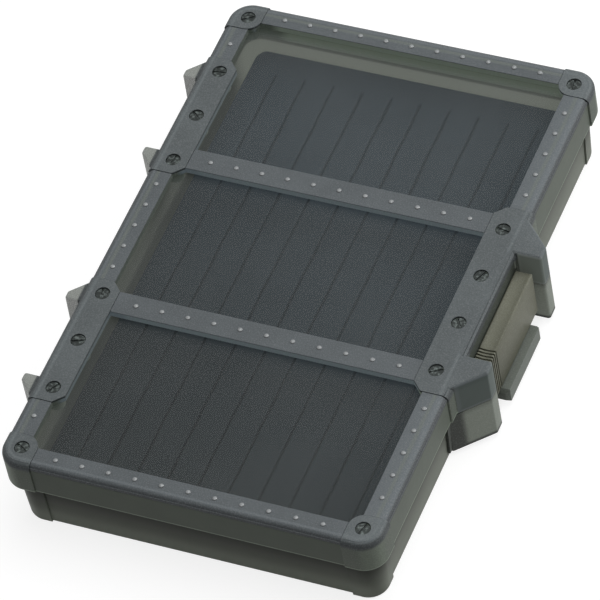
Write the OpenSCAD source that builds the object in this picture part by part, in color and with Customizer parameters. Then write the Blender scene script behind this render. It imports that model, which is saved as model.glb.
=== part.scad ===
// Fly box with a hinged lid, three clear windows, a slit foam mat and a side latch.
// Origin at the middle of the resting face. +X towards the latch, +Y along the case, +Z up.

/* [Case] */
// Width of the closed case, from the hinge wall to the latch wall
case_w = 141.6; // [130:0.2:170]
// Length of the closed case
case_l = 222; // [212:1:260]
// Height of the closed case
case_h = 35.5; // [33:0.5:44]
// Radius of the lid's corners, seen from above
corner_r = 8; // [7:0.5:11]

/* [Lid] */
// Height of the lid, from its lower rim to its top face
lid_h = 14.5; // [13.5:0.1:16]
// Thickness of the lid's side walls
lid_wall = 2.3; // [2:0.1:2.6]
// Rounding of the top outer edge
edge_r = 2.5; // [0.8:0.1:2.5]
// Rounding of the lid's lower rim
lip_r = 0.8; // [0.4:0.1:1]
// Thickness of the lattice frame on top of the lid
frame_t = 2.6; // [1.5:0.1:2.8]
// Thickness of the lid's roof and of the window panes
pane_t = 1.6; // [1.2:0.1:2]
// How far the lattice frame laps over the edge of a pane
pane_lap = 1.5; // [1:0.1:2]
// Width of the rails at the two short ends
end_rail_w = 8.3; // [7.5:0.1:10]
// Width of the rails along the two long sides
side_rail_w = 9; // [8:0.1:11]
// Distance of each crossbar from the middle of the case
bar_y = 34.6; // [31:0.1:38]
// Width of the crossbars
bar_w = 9.3; // [7:0.1:12]

/* [Base] */
// How far the base's rim reaches up into the lid
rim_up = 2.4; // [1.5:0.1:3.5]
// Gap between the base's wall and the lid's skirt
rim_gap = 0.3; // [0.2:0.05:0.6]
// Thickness of the base's side walls
base_wall = 1.8; // [1.4:0.1:2.4]
// Thickness of the base's floor
floor_t = 2.2; // [1.6:0.1:3]
// How far the base's wall leans in from its rim to its foot
base_draft = 1; // [0.4:0.1:1.6]
// Rounding of the base's lower edge
foot_r = 1.5; // [1:0.1:2]
// How much larger the radius of the base's corners is than the lid's gives
base_round = 2.4; // [0:0.1:3]

/* [Corner guards and plates] */
// Length of a corner guard along the case's width
guard_w = 12.6; // [11.5:0.1:16]
// Length of a corner guard along the case's length
guard_l = 12.6; // [11.5:0.1:16]
// How far guards and plates stand proud of the side walls
side_proud = 0.6; // [0.3:0.1:0.8]
// How far guards and plates stand proud of the lattice frame
top_proud = 0.2; // [0:0.05:0.4]
// How deep guards and plates are let into the side walls
side_inlay = 1; // [0.6:0.1:1.2]
// How deep guards and plates are let into the lattice frame
top_inlay = 0.8; // [0.5:0.1:1]
// Gap of the seam round each guard and plate
seam_gap = 0.1; // [0.05:0.05:0.25]
// Distance of each hinge's middle from the short end of the case
hinge_end = 56.6; // [45:0.1:60]
// Length of a hinge plate
hinge_plate_l = 56.4; // [55:0.1:60]
// Width of a hinge plate on top of the lid
hinge_plate_w = 12.6; // [11:0.1:15]
// Length of the latch plate
latch_plate_l = 86; // [78:0.5:92]
// Width of the latch plate on top of the lid
latch_plate_w = 13.5; // [12.5:0.1:16]
// Cut across the inner corners of the hinge and latch plates
plate_cut = 3.7; // [2:0.1:5]

/* [Hinge] */
// Distance of the hinge pin's axis from the hinge wall
pin_out = 3.6; // [3.4:0.1:4.4]
// Diameter of the hinge pin
pin_d = 2; // [1.6:0.1:2.2]
// Running gap round the hinge pin
pin_gap = 0.05; // [0.02:0.01:0.1]
// Gap between the hinge plate's face and the knuckle
hinge_gap = 0.3; // [0.2:0.05:0.5]
// Distance from the ends of a hinge plate to where a lug's slope meets the wall
lug_end = 1.2; // [0.6:0.1:2.4]
// Length of a lug at its outer tip
lug_tip = 3.2; // [2.6:0.1:6]
// How far the top of a lug lies below the top of the lid
lug_drop = 1; // [0.6:0.1:2]
// Gap between the knuckle's ends and the lugs
knuckle_gap = 0.3; // [0.2:0.05:0.6]

/* [Latch] */
// Height of the latch
latch_h = 19.7; // [18:0.1:20.4]
// Thickness of the latch
latch_t = 6.5; // [6:0.1:7]
// How far the latch's top lies below the top of the lid
latch_drop = 6.8; // [6.4:0.1:7.2]
// Gap at the latch's near end when it is closed
latch_end_gap = 1.4; // [0.8:0.1:2]
// How far the latch slides along the case to open
latch_travel = 2; // [2:0.1:3]
// Running gap between the latch and the wall behind it
latch_gap = 0.3; // [0.2:0.05:0.4]
// How far the horns stand out from the latch wall
horn_out = 9.9; // [9:0.1:11]
// Distance from the ends of the latch plate to where a horn's slope meets the wall
horn_end = 3.8; // [1:0.1:5]
// Length of a horn at its outer tip
horn_tip = 5.3; // [4:0.1:6.5]
// Rounding of the horns
horn_r = 1; // [0.6:0.1:1.3]
// Height of the base horns' lower ends above the resting face
horn_foot_z = 1.2; // [0.5:0.1:3]
// Distance of the keeper tab's ends from the horns
tab_in = 8; // [4:0.5:12]
// Height of the keeper tab's foot above the resting face
tab_foot_z = 2.4; // [0.8:0.1:3]
// Number of keeper teeth behind the latch
tooth_count = 5; // [3:2:5]
// Length of a keeper tooth
tooth_l = 1.8; // [1.4:0.1:1.8]
// Distance of the outermost keeper teeth from the horns
tooth_in = 8; // [7:0.1:9]

/* [Foam] */
// Distance of the foam mat's long edges from the long sides of the case
foam_side_in = 8.4; // [8:0.1:15]
// Distance of the foam mat's short edges from the short ends of the case
foam_end_in = 6; // [6:0.5:20]
// Thickness of the foam mat
foam_t = 15.8; // [8:0.2:16.4]
// Radius of the foam mat's corners
foam_r = 4.5; // [2:0.5:6]
// Distance from slit to slit
slit_pitch = 11.45; // [8:0.05:16]
// Depth of the slits
slit_deep = 8; // [4:0.5:8]
// Width of the slits
slit_w = 0.5; // [0.3:0.1:0.8]
// Distance from the ends of the foam mat to the slits
slit_end = 10.8; // [6:0.1:20]

/* [Rivets and screws] */
// Distance from rivet to rivet
rivet_pitch = 10; // [8:0.5:12]
// Diameter of the rivet heads
rivet_d = 1.9; // [1.4:0.1:2.4]
// Height of the rivet heads
rivet_h = 0.45; // [0.3:0.05:0.6]
// Least distance from a rivet to the end of its stretch of rail
rivet_margin = 6; // [5:0.5:8]
// Distance from the short ends of the lid to their rivets
end_rivet_in = 4.9; // [4:0.1:6]
// Distance from the long sides of the lid to their rivets
side_rivet_in = 5.5; // [4.5:0.1:6.5]
// Diameter of the screw heads
screw_d = 5.2; // [4.4:0.1:5.4]
// Thickness of the screw heads
screw_head_t = 0.9; // [0.7:0.1:1]
// How far the screw heads are sunk in the plates
screw_sink = 0.5; // [0.3:0.1:0.6]
// Diameter of the screws' shanks
shank_d = 2.4; // [2:0.1:2.8]
// Distance from the ends of a hinge plate to its outer screws
hinge_screw_end = 6.2; // [5:0.1:9]
// Distance from the ends of the latch plate to its outer screws
latch_screw_end = 10; // [6:0.5:14]
// Distance from both outer faces to the screw of a corner guard
guard_screw_in = 7; // [6.6:0.1:7.6]
// Distance from the hinge wall to the screws of the hinge plates
hinge_screw_in = 6.9; // [6.5:0.1:7.4]
// Distance from the latch wall to the screws of the latch plate
latch_screw_in = 7.7; // [7.2:0.1:8.2]

/* [Hidden] */
$fn = 48;

// Overrun of every cut past the face that it opens
over = 1;
// Clearance between curved faces that seat on each other
seat_gap = 0.05;
// Clearance round a pane in its opening
pane_gap = 0.1;

// Heights of the lid
part_z = case_h - lid_h;
frame_z = case_h - frame_t;
roof_z = frame_z - pane_t;
plate_top = case_h + top_proud;
plate_floor = case_h - top_inlay;
rim_z = part_z + rim_up;

// The top edge's rounding, held within the frame's thickness
edge_margin = 0.1;
top_r = min(edge_r, frame_t - edge_margin);

// The two outer faces that every rail and plate is measured from
half_w = case_w / 2;
half_l = case_l / 2;

// The base's rim, the line of its leaning wall, and the plates and guards on it
rim_in = lid_wall + rim_gap;
rim_half_w = half_w - rim_in;
rim_r = corner_r - rim_in + base_round;
lean_angle = atan(base_draft / rim_z);
foot_x = lean(foot_r) - foot_r / cos(lean_angle);
guard_lift = 0.3;
guard_leg = 0.5;
under_gap = 0.3;
base_plate_t = 1;

// The rib in the lid that holds the seal over the rim
seal_w = 1.1;
seal_t = 1;
rib_w = 2.3;
rib_h = 1.7;
rib_z = rim_z + under_gap;

// The hinge: its place, the knuckle's radius, and how the lugs lie from its middle
hinge_y = half_l - hinge_end;
axis_x = -half_w - pin_out;
axis_z = part_z;
knuckle_r = pin_out - side_proud - hinge_gap;
lug_r = 1;
lug_out = pin_out + knuckle_r;
lug_root = hinge_plate_l / 2 - lug_end;
lug_far_y = lug_root - lug_out;
lug_in = lug_far_y - lug_tip;
web_foot_z = 7;
web_top_gap = 0.4;

// The latch, its rail on the lid, the keeper teeth on the base, and the horns at both ends
horn_root = latch_plate_l / 2 - horn_end;
recess_half = horn_root - horn_out - horn_tip;
stop_gap = 0.1;
latch_l = 2 * recess_half - latch_end_gap - latch_travel - stop_gap;
latch_back_x = half_w + latch_gap;
latch_face_x = latch_back_x + latch_t;
latch_top_z = case_h - latch_drop;
latch_foot_z = latch_top_z - latch_h;
latch_near_y = -recess_half + latch_end_gap;
latch_r = 0.6;
groove_r = 9;
groove_deep = 0.4;
grip_count = 6;
grip_pitch = 1.35;
grip_w = 0.6;
grip_deep = 0.6;
grip_start = 0.9;
rail_drop = 4.3;
rail_z = latch_top_z - rail_drop;
rail_neck_t = 1.6;
rail_head_h = 4;
rail_neck_out = 2.2;
rail_head_t = 1.6;
rail_in = 9;
rail_half = recess_half - rail_in;
slide_gap = 0.1;
tooth_t = 1.8;
tooth_pitch = 2 * (recess_half - tooth_in) / (tooth_count - 1);
tooth_rise = 4.3;
tooth_top_z = latch_foot_z + tooth_rise;
tooth_reach = 2.6;
tooth_gap = 0.2;
pocket_wall = 3;
hook_gap = 0.2;
tab_gap = 0.4;
tab_half = recess_half - tab_in;
tab_top_z = latch_foot_z - tab_gap;
tab_cut = 1.4;
tab_out = 9.7;
horn_gap = 0.3;
horn_cut = 1.2;
horn_reach = 4;
recess_r = 3;

// The screws, their bosses, and the turn of each slot
hinge_screw_pitch = hinge_plate_l / 2 - hinge_screw_end;
latch_screw_pitch = (latch_plate_l - 2 * latch_screw_end) / 3;
slot_w = 0.8;
slot_deep = 0.45;
head_gap = 0.15;
boss_d = 6;
boss_h = 5;
boss_floor = 1;
head_z = plate_top - screw_sink - screw_head_t;
shank_foot_z = roof_z - boss_h + boss_floor;
guard_turns = [100, 35, 150, 75];
hinge_turns = [60, 20, 110, 80, 140, 10];
latch_turns = [30, 125, 65, 170];

// Signs of the four corners: far latch, far hinge, near hinge, near latch
CORNERS = [[1, 1], [-1, 1], [-1, -1], [1, -1]];

// How far the base's outer face lies in from its rim at a height
function lean(z) = -base_draft * (rim_z - z) / rim_z;
// Distance of the base's outer face from the middle plane at a height
function wall_x(z) = rim_half_w + lean(z);
// Multiples of the rivet pitch that fit between two limits, kept clear of both ends
function rivet_steps(a, b) = [for (i = [ceil((a + rivet_margin) / rivet_pitch) :
    floor((b - rivet_margin) / rivet_pitch)]) i * rivet_pitch];

// A rectangle with round corners, centred
module outline(w, l, r) {
    square([w - 2 * r, l], center = true);
    square([w, l - 2 * r], center = true);
    for (c = CORNERS) translate([c.x * (w / 2 - r), c.y * (l / 2 - r)]) circle(r);
}

// A flat plate with round corners between two heights
module slab(w, l, r, z0, z1) {
    translate([0, 0, z0]) linear_extrude(z1 - z0) outline(w, l, r);
}

// A rectangle whose two outer corners are rounded: lower radius r0, upper radius r1
module edge_square(x0, x1, z0, z1, r0, r1) {
    mid = (z0 + z1) / 2;
    translate([x0, z0 + r0]) square([x1 - x0, z1 - r1 - z0 - r0]);
    translate([x0, z0]) square([x1 - r0 - x0, mid - z0]);
    translate([x0, mid]) square([x1 - r1 - x0, z1 - mid]);
    if (r0 > 0) translate([x1 - r0, z0 + r0]) intersection() {
        circle(r0);
        translate([0, -r0]) square([r0, r0]);
    }
    if (r1 > 0) translate([x1 - r1, z1 - r1]) intersection() {
        circle(r1);
        square([r1, r1]);
    }
}

// A profile carried round a rounded rectangle; its x is measured from the outer face
module carried_round(w, l, r) {
    for (i = [0 : 3]) {
        long = i % 2 == 0;
        rotate(90 * i) translate([(long ? w : l) / 2, 0, 0]) rotate([90, 0, 0])
            linear_extrude((long ? l : w) - 2 * r, center = true) children();
        translate([CORNERS[i].x * (w / 2 - r), CORNERS[i].y * (l / 2 - r), 0])
            rotate(90 * i) rotate_extrude(angle = 90) translate([r, 0]) children();
    }
}

// A profile carried round one corner, with a straight leg at each end
module carried_corner(r, leg_w, leg_l) {
    rotate_extrude(angle = 90) translate([r, 0]) children();
    translate([r, 0, 0]) rotate([90, 0, 0]) linear_extrude(leg_l) children();
    translate([0, r, 0]) rotate([90, 0, -90]) mirror([1, 0]) linear_extrude(leg_w) children();
}

// Mirrors its children into a corner
module in_corner(c) {
    mirror([c.x < 0 ? 1 : 0, 0, 0]) mirror([0, c.y < 0 ? 1 : 0, 0]) children();
}

// Seen from above: the corner that a guard covers, round about its screw, grown by a margin
module guard_area(grow) {
    screw_x = half_w - guard_screw_in;
    screw_y = half_l - guard_screw_in;
    reach_x = guard_w - guard_screw_in + grow;
    reach_y = guard_l - guard_screw_in + grow;
    translate([screw_x, screw_y]) {
        circle(min(reach_x, reach_y));
        translate([0, -reach_y]) square([case_w, case_l]);
        translate([-reach_x, 0]) square([case_w, case_l]);
    }
}

// Seen from above: a strip from the outer wall inwards, its two inner corners cut
module plate_area(reach, half, grow) {
    x0 = half_w - reach - grow;
    y0 = half + grow;
    polygon([[x0, y0 - plate_cut], [x0 + plate_cut, y0], [case_w, y0],
        [case_w, -y0], [x0 + plate_cut, -y0], [x0, plate_cut - y0]]);
}

module hinge_area(s, grow) {
    translate([0, s * hinge_y]) mirror([1, 0]) plate_area(hinge_plate_w, hinge_plate_l / 2, grow);
}

module latch_area(grow) {
    plate_area(latch_plate_w, latch_plate_l / 2, grow);
}

// All the guards and plates, seen from above
module plate_areas(grow) {
    for (c = CORNERS) in_corner(c) guard_area(grow);
    for (s = [-1, 1]) hinge_area(s, grow);
    latch_area(grow);
}

// Seen from above: one window opening, grown by a margin
module window_area(i, grow) {
    near = i == 0 ? -bar_y + bar_w / 2 : bar_y + bar_w / 2;
    far = i == 0 ? bar_y - bar_w / 2 : half_l - end_rail_w;
    w = case_w - 2 * side_rail_w;
    difference() {
        mirror([0, i < 0 ? 1 : 0]) translate([-w / 2 - grow, near - grow])
            square([w + 2 * grow, far - near + 2 * grow]);
        plate_areas(-grow);
    }
}

// The outer layer of the lid that is cut away under all the guards and plates
module pockets() {
    difference() {
        translate([0, 0, part_z - over]) linear_extrude(case_h) plate_areas(seam_gap);
        slab(case_w - 2 * side_inlay, case_l - 2 * side_inlay, corner_r - side_inlay,
            part_z - 2 * over, plate_floor);
    }
}

// Section through a guard or plate where it wraps down the side wall
module wrap_section() {
    inner = -2 * side_inlay;
    difference() {
        edge_square(inner, side_proud, part_z, plate_top, lip_r, top_r);
        translate([inner - over, part_z - over])
            square([over - inner - side_inlay + seat_gap, plate_floor - part_z + over]);
    }
}

// The flat top of a guard or plate
module plate_face() {
    translate([0, 0, plate_floor]) linear_extrude(plate_top - plate_floor) intersection() {
        outline(case_w - 2 * side_inlay, case_l - 2 * side_inlay, corner_r - side_inlay);
        children();
    }
}

// Places of the screws: corner guards, hinge plates and latch plate
module at_guard_screws() {
    for (i = [0 : 3]) translate([CORNERS[i].x * (half_w - guard_screw_in),
        CORNERS[i].y * (half_l - guard_screw_in), 0]) rotate(guard_turns[i]) children();
}

module at_hinge_screws() {
    for (s = [-1, 1], i = [-1 : 1])
        translate([-half_w + hinge_screw_in, s * hinge_y + i * hinge_screw_pitch, 0])
            rotate(hinge_turns[(s + 1) / 2 * 3 + i + 1]) children();
}

module at_latch_screws() {
    for (i = [0 : 3]) translate([half_w - latch_screw_in, (i - 1.5) * latch_screw_pitch, 0])
        rotate(latch_turns[i]) children();
}

module at_screws() {
    at_guard_screws() children();
    at_hinge_screws() children();
    at_latch_screws() children();
}

module screw() {
    difference() {
        translate([0, 0, head_z]) cylinder(d = screw_d, h = screw_head_t);
        translate([-screw_d, -slot_w / 2, head_z + screw_head_t - slot_deep])
            cube([2 * screw_d, slot_w, slot_deep + over]);
    }
    translate([0, 0, shank_foot_z]) cylinder(d = shank_d, h = head_z - shank_foot_z);
}

// What a screw cuts away: the recess for its head, and the hole for its shank
module screw_room() {
    translate([0, 0, head_z]) cylinder(d = screw_d + 2 * head_gap, h = case_h);
    translate([0, 0, shank_foot_z - seat_gap])
        cylinder(d = shank_d + 2 * seat_gap, h = head_z - shank_foot_z + over);
}

// Half a section through the base up to its outer face, grown by a margin
module base_section(grow, top) {
    r = foot_r + grow;
    inner = foot_x - base_wall;
    polygon([[inner, foot_r - r], [foot_x, foot_r - r],
        [foot_x + r * cos(lean_angle), foot_r - r * sin(lean_angle)],
        [lean(top) + grow / cos(lean_angle), top], [inner, top]]);
    translate([foot_x, foot_r]) circle(r);
}

module base_wall_section() {
    difference() {
        base_section(0, rim_z);
        polygon([[foot_x - 2 * base_wall, floor_t], [lean(floor_t) - base_wall, floor_t],
            [-base_wall, rim_z], [-base_wall, rim_z + over], [foot_x - 2 * base_wall, rim_z + over]]);
    }
}

module base_shell() {
    rim_w = case_w - 2 * rim_in;
    rim_l = case_l - 2 * rim_in;
    color([0.38, 0.38, 0.33]) {
        carried_round(rim_w, rim_l, rim_r) base_wall_section();
        slab(rim_w + 2 * foot_x, rim_l + 2 * foot_x, rim_r + foot_x, 0, floor_t);
    }
}

module base_guard(c) {
    middle = corner_r + base_round;
    leg_in = corner_r + base_round / 2;
    color([0.42, 0.43, 0.39]) in_corner(c) translate([half_w - middle, half_l - middle, 0])
        carried_corner(rim_r, max(guard_w - leg_in, guard_leg), max(guard_l - leg_in, guard_leg))
            guard_section();
}

// Section through the wall of a base guard
module guard_section() {
    top = part_z - under_gap;
    intersection() {
        difference() {
            base_section(side_proud, top);
            base_section(seat_gap, top + over);
        }
        translate([foot_x, guard_lift]) square([base_wall + case_w, case_h]);
    }
}

module base_foam() {
    foam_w = case_w - 2 * foam_side_in;
    foam_l = case_l - 2 * foam_end_in;
    steps = floor(foam_w / 2 / slit_pitch);
    top = floor_t + foam_t;
    color([0.24, 0.27, 0.28]) difference() {
        slab(foam_w, foam_l, foam_r, floor_t, top);
        for (i = [-steps : steps - 1])
            translate([(i + 0.5) * slit_pitch - slit_w / 2, slit_end - foam_l / 2, top - slit_deep])
                cube([slit_w, foam_l - 2 * slit_end, slit_deep + over]);
    }
}

// A plate that lies on the base's leaning side wall, along Y
module base_side_plate(half, z0, z1) {
    rotate([90, 0, 0]) linear_extrude(2 * half, center = true) polygon([[wall_x(z0) + seat_gap, z0],
        [wall_x(z0) + base_plate_t, z0], [wall_x(z1) + base_plate_t, z1], [wall_x(z1) + seat_gap, z1]]);
}

// An upright round post whose lower or upper end may be a dome
module post(r, z0, z1, soft_foot, soft_top) {
    turns = [0 : 22.5 : 90];
    foot = soft_foot ? [for (a = turns) [r * sin(a), z0 + r - r * cos(a)]] : [[0, z0], [r, z0]];
    top = soft_top ? [for (a = turns) [r * cos(a), z1 - r + r * sin(a)]] : [[r, z1], [0, z1]];
    rotate_extrude($fn = 24) polygon(concat(foot, top));
}

// The four upright edges of a horn, drawn in by a margin, with their ends domed or flat
module horn_posts(x0, shrink, z0, z1, soft_foot, soft_top) {
    tip_x = half_w + horn_out - horn_r - shrink;
    slope = half_w + horn_root - horn_r * sqrt(2) - shrink;
    in_y = recess_half + horn_r + shrink;
    for (p = [[x0, in_y], [tip_x, in_y], [tip_x, slope - tip_x], [x0, slope - x0]])
        translate([p.x, p.y, 0]) post(horn_r, z0, z1, soft_foot, soft_top);
}

module latch_keeper() {
    horn_top = part_z - horn_gap / 2;
    x0 = wall_x(horn_foot_z) + horn_r + seat_gap;
    color([0.45, 0.47, 0.43]) {
        base_side_plate(latch_plate_l / 2, 2 * foot_r, part_z - under_gap);
        for (s = [0, 1]) mirror([0, s, 0]) difference() {
            hull() {
                horn_posts(x0, 0, horn_foot_z + horn_cut, horn_top, false, false);
                horn_posts(x0, horn_cut, horn_foot_z, horn_foot_z + horn_cut, true, false);
            }
            base_clear();
        }
        difference() {
            hull() {
                tab_block(0, tab_cut);
                tab_block(tab_cut, 0);
            }
            base_clear();
        }
        for (i = [0 : tooth_count - 1]) keeper_tooth((i - (tooth_count - 1) / 2) * tooth_pitch);
    }
}

// What keeps a piece clear of the base's leaning wall
module base_clear() {
    rotate([90, 0, 0]) linear_extrude(case_l, center = true) polygon([[0, -over],
        [wall_x(-over) + seat_gap, -over], [wall_x(case_h) + seat_gap, case_h], [0, case_h]]);
}

module tab_block(in_out, in_up) {
    y = tab_half - in_out;
    x0 = rim_half_w - base_draft;
    x1 = half_w + tab_out - tab_cut + in_out;
    translate([x0, -y, tab_foot_z + in_up]) cube([x1 - x0, 2 * y, tab_top_z - tab_foot_z - 2 * in_up]);
}

module keeper_tooth(y) {
    z = tooth_top_z - tooth_t;
    x0 = wall_x(z) + base_plate_t / 2;
    translate([x0, y - tooth_l / 2, z]) cube([latch_back_x + tooth_reach - x0, tooth_l, tooth_t]);
}

// The knuckle of the base that one hinge pin runs through
module hinge_knuckle(s) {
    half = lug_in - knuckle_gap;
    top = part_z - web_top_gap;
    out_x = axis_x - knuckle_r;
    color([0.4, 0.42, 0.39]) translate([0, s * hinge_y, 0]) difference() {
        union() {
            mirror([1, 0, 0]) base_side_plate(lug_root, 2 * foot_r, part_z - under_gap);
            rotate([90, 0, 0]) linear_extrude(2 * half, center = true)
                polygon([[axis_x, top], [out_x, axis_z], [out_x, axis_z - knuckle_r / 2],
                    [-wall_x(web_foot_z) - seat_gap, web_foot_z], [-wall_x(top) - seat_gap, top]]);
            translate([axis_x, 0, axis_z]) rotate([90, 0, 0])
                cylinder(r = knuckle_r, h = 2 * half, center = true);
        }
        translate([axis_x, 0, axis_z]) rotate([90, 0, 0])
            cylinder(d = pin_d + 2 * pin_gap, h = 2 * half + 2 * over, center = true);
    }
}

module hinge_pin(s) {
    color([0.72, 0.73, 0.74]) translate([axis_x, s * hinge_y, axis_z]) rotate([90, 0, 0])
        cylinder(d = pin_d, h = 2 * lug_far_y + lug_out / 2, center = true);
}

module lid_shell() {
    color([0.42, 0.45, 0.41]) difference() {
        union() {
            carried_round(case_w, case_l, corner_r) edge_square(-lid_wall, 0, part_z, frame_z, lip_r, 0);
            lid_core(roof_z, frame_z);
            press_rib();
            intersection() {
                at_screws() translate([0, 0, roof_z - boss_h])
                    cylinder(d = boss_d, h = boss_h + pane_t / 2);
                lid_core(part_z, frame_z);
            }
        }
        translate([0, 0, roof_z - over]) linear_extrude(pane_t + 2 * over)
            for (i = [-1 : 1]) window_area(i, pane_lap);
        pockets();
        at_screws() screw_room();
        seal_ring(seat_gap);
    }
}

// What lies within the middle of the lid's side walls, between two heights
module lid_core(z0, z1) {
    slab(case_w - lid_wall, case_l - lid_wall, corner_r - lid_wall / 2, z0, z1);
}

// The rib inside the lid, over the base's rim
module press_rib() {
    inset = lid_wall + rib_w;
    top = rib_z + rib_h;
    difference() {
        lid_core(rib_z, top);
        slab(case_w - 2 * inset, case_l - 2 * inset, corner_r - inset + base_round,
            rib_z - over, top + over);
    }
}

// The seal in its groove in the rib, grown by a margin on its sides and top
module seal_ring(grow) {
    inset = rim_in + (base_wall - seal_w) / 2;
    w = case_w - 2 * inset;
    l = case_l - 2 * inset;
    r = corner_r - inset + base_round;
    foot = rib_z - (grow > 0 ? over : 0);
    difference() {
        slab(w + 2 * grow, l + 2 * grow, r + grow, foot, rib_z + seal_t + grow);
        slab(w - 2 * seal_w - 2 * grow, l - 2 * seal_w - 2 * grow, r - seal_w - grow,
            foot - over, rib_z + seal_t + over);
    }
}

module rim_seal() {
    color([0.2, 0.2, 0.2]) seal_ring(0);
}

module lid_frame() {
    color([0.4, 0.42, 0.43]) difference() {
        union() {
            carried_round(case_w, case_l, corner_r) edge_square(-2 * top_r, 0, frame_z, case_h, 0, top_r);
            slab(case_w - 2 * top_r, case_l - 2 * top_r, corner_r - top_r, frame_z, case_h);
        }
        translate([0, 0, frame_z - over]) linear_extrude(frame_t + 2 * over)
            for (i = [-1 : 1]) window_area(i, 0);
        pockets();
        at_screws() screw_room();
    }
}

module window_pane(i) {
    color([0.6, 0.62, 0.58, 0.4]) translate([0, 0, roof_z]) linear_extrude(pane_t)
        window_area(i, pane_lap - pane_gap);
}

module lid_guard(c) {
    color([0.41, 0.43, 0.43]) difference() {
        in_corner(c) {
            translate([half_w - corner_r, half_l - corner_r, 0])
                carried_corner(corner_r, guard_w - corner_r, guard_l - corner_r) wrap_section();
            plate_face() guard_area(0);
        }
        at_guard_screws() screw_room();
    }
}

// All that lies nearer the middle plane than a distance, up to a height
module within(x, top) {
    translate([-case_w, 0, -over]) cube([case_w + x, case_w, top + over]);
}

// One triangular lug, rounded round the pin at its lower end
module lug() {
    tip_x = half_w + lug_out - lug_r;
    slope = half_w + lug_root - lug_r * sqrt(2);
    in_y = lug_in + lug_r;
    hull() {
        for (p = [[half_w, in_y], [tip_x, in_y], [tip_x, slope - tip_x], [half_w, slope - half_w]])
            translate([p.x, p.y, 0]) post(lug_r, part_z, case_h - lug_drop, false, true);
        translate([-axis_x, lug_in, axis_z]) rotate([-90, 0, 0])
            cylinder(r = knuckle_r, h = lug_far_y - lug_in, $fn = 32);
    }
}

module hinge_plate(s) {
    color([0.41, 0.43, 0.43]) difference() {
        union() {
            translate([-half_w, s * hinge_y, 0]) mirror([1, 0, 0]) rotate([90, 0, 0])
                linear_extrude(hinge_plate_l, center = true) wrap_section();
            plate_face() hinge_area(s, 0);
            translate([0, s * hinge_y, 0]) mirror([1, 0, 0]) for (t = [0, 1]) mirror([0, t, 0])
                difference() {
                    lug();
                    within(half_w, case_h);
                }
        }
        translate([axis_x, s * hinge_y, axis_z]) rotate([90, 0, 0])
            cylinder(d = pin_d + 2 * pin_gap, h = 2 * lug_root + 2 * over, center = true);
        at_hinge_screws() screw_room();
    }
}

module latch_plate() {
    color([0.41, 0.43, 0.43]) difference() {
        union() {
            translate([half_w, 0, 0]) rotate([90, 0, 0])
                linear_extrude(latch_plate_l, center = true) wrap_section();
            plate_face() latch_area(0);
            for (s = [0, 1]) mirror([0, s, 0]) difference() {
                hull() horn_posts(half_w - horn_reach, 0, part_z + horn_gap / 2, plate_top, false, true);
                within(half_w - side_inlay / 2, plate_floor);
            }
            latch_rail();
        }
        recess_room();
        at_latch_screws() screw_room();
    }
}

// The bare wall behind the latch, level with the lid's side
module recess_room() {
    difference() {
        translate([half_w, -recess_half, part_z - over]) cube([case_w, 2 * recess_half, case_h + 2 * over]);
        latch_rail();
        for (s = [0, 1]) mirror([0, s, 0]) recess_fillet();
    }
}

// The hollow rounding of a recess corner above the latch
module recess_fillet() {
    translate([half_w - over, recess_half - recess_r, latch_top_z + tab_gap])
        linear_extrude(case_h) difference() {
            square([recess_r + over, recess_r + over]);
            translate([recess_r + over, 0]) circle(recess_r);
        }
}

// The T-shaped rail that the latch slides along
module latch_rail() {
    x0 = half_w - side_inlay / 2;
    translate([x0, -rail_half, rail_z - rail_neck_t / 2])
        cube([side_inlay / 2 + rail_neck_out + rail_head_t / 2, 2 * rail_half, rail_neck_t]);
    translate([half_w + rail_neck_out, -rail_half, rail_z - rail_head_h / 2])
        cube([rail_head_t, 2 * rail_half, rail_head_h]);
}

module frame_rivets() {
    y_end = half_l - end_rivet_in;
    x_side = half_w - side_rivet_in;
    hinge_x = -half_w + hinge_plate_w;
    latch_x = half_w - latch_plate_w;
    guard_y = half_l - guard_l;
    plate_half = hinge_plate_l / 2;
    color([0.5, 0.52, 0.52]) {
        for (s = [-1, 1], x = rivet_steps(guard_w - half_w, half_w - guard_w)) rivet(x, s * y_end);
        for (s = [-1, 1], x = rivet_steps(hinge_x, latch_x)) rivet(x, s * bar_y);
        for (s = [-1, 1], y = rivet_steps(latch_plate_l / 2, guard_y)) rivet(x_side, s * y);
        for (s = [-1, 1], y = rivet_steps(hinge_y + plate_half, guard_y)) rivet(-x_side, s * y);
        for (y = rivet_steps(plate_half - hinge_y, hinge_y - plate_half)) rivet(-x_side, y);
    }
}

// The domed head of a rivet on the frame
module rivet(x, y) {
    r = (rivet_d * rivet_d / 4 + rivet_h * rivet_h) / (2 * rivet_h);
    translate([x, y, case_h]) rotate_extrude($fn = 20) intersection() {
        translate([0, rivet_h - r]) circle(r);
        square([rivet_d, rivet_h]);
    }
}

// The latch: a hollow block with a T-slot above, and a pocket with hooks below
module latch() {
    slot_near = -rail_half - latch_travel - slide_gap;
    slot_far = rail_half + slide_gap;
    neck = rail_neck_t + 2 * slide_gap;
    head = rail_head_h + 2 * slide_gap;
    head_x = half_w + rail_neck_out - slide_gap;
    pocket_x = latch_back_x + tooth_reach + tooth_gap;
    color([0.5, 0.49, 0.44]) {
        difference() {
            latch_block();
            translate([latch_back_x - over, slot_near, rail_z - neck / 2])
                cube([head_x - latch_back_x + 2 * over, slot_far - slot_near, neck]);
            translate([head_x, slot_near, rail_z - head / 2])
                cube([rail_head_t + 2 * slide_gap, slot_far - slot_near, head]);
            translate([latch_back_x - over, latch_near_y + pocket_wall, latch_foot_z - over])
                cube([pocket_x - latch_back_x + over, latch_l - 2 * pocket_wall,
                    tooth_top_z + tooth_gap - latch_foot_z + over]);
            grip_cuts();
        }
        for (i = [0 : tooth_count - 1]) latch_hook((i - (tooth_count - 1) / 2) * tooth_pitch);
    }
}

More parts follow.
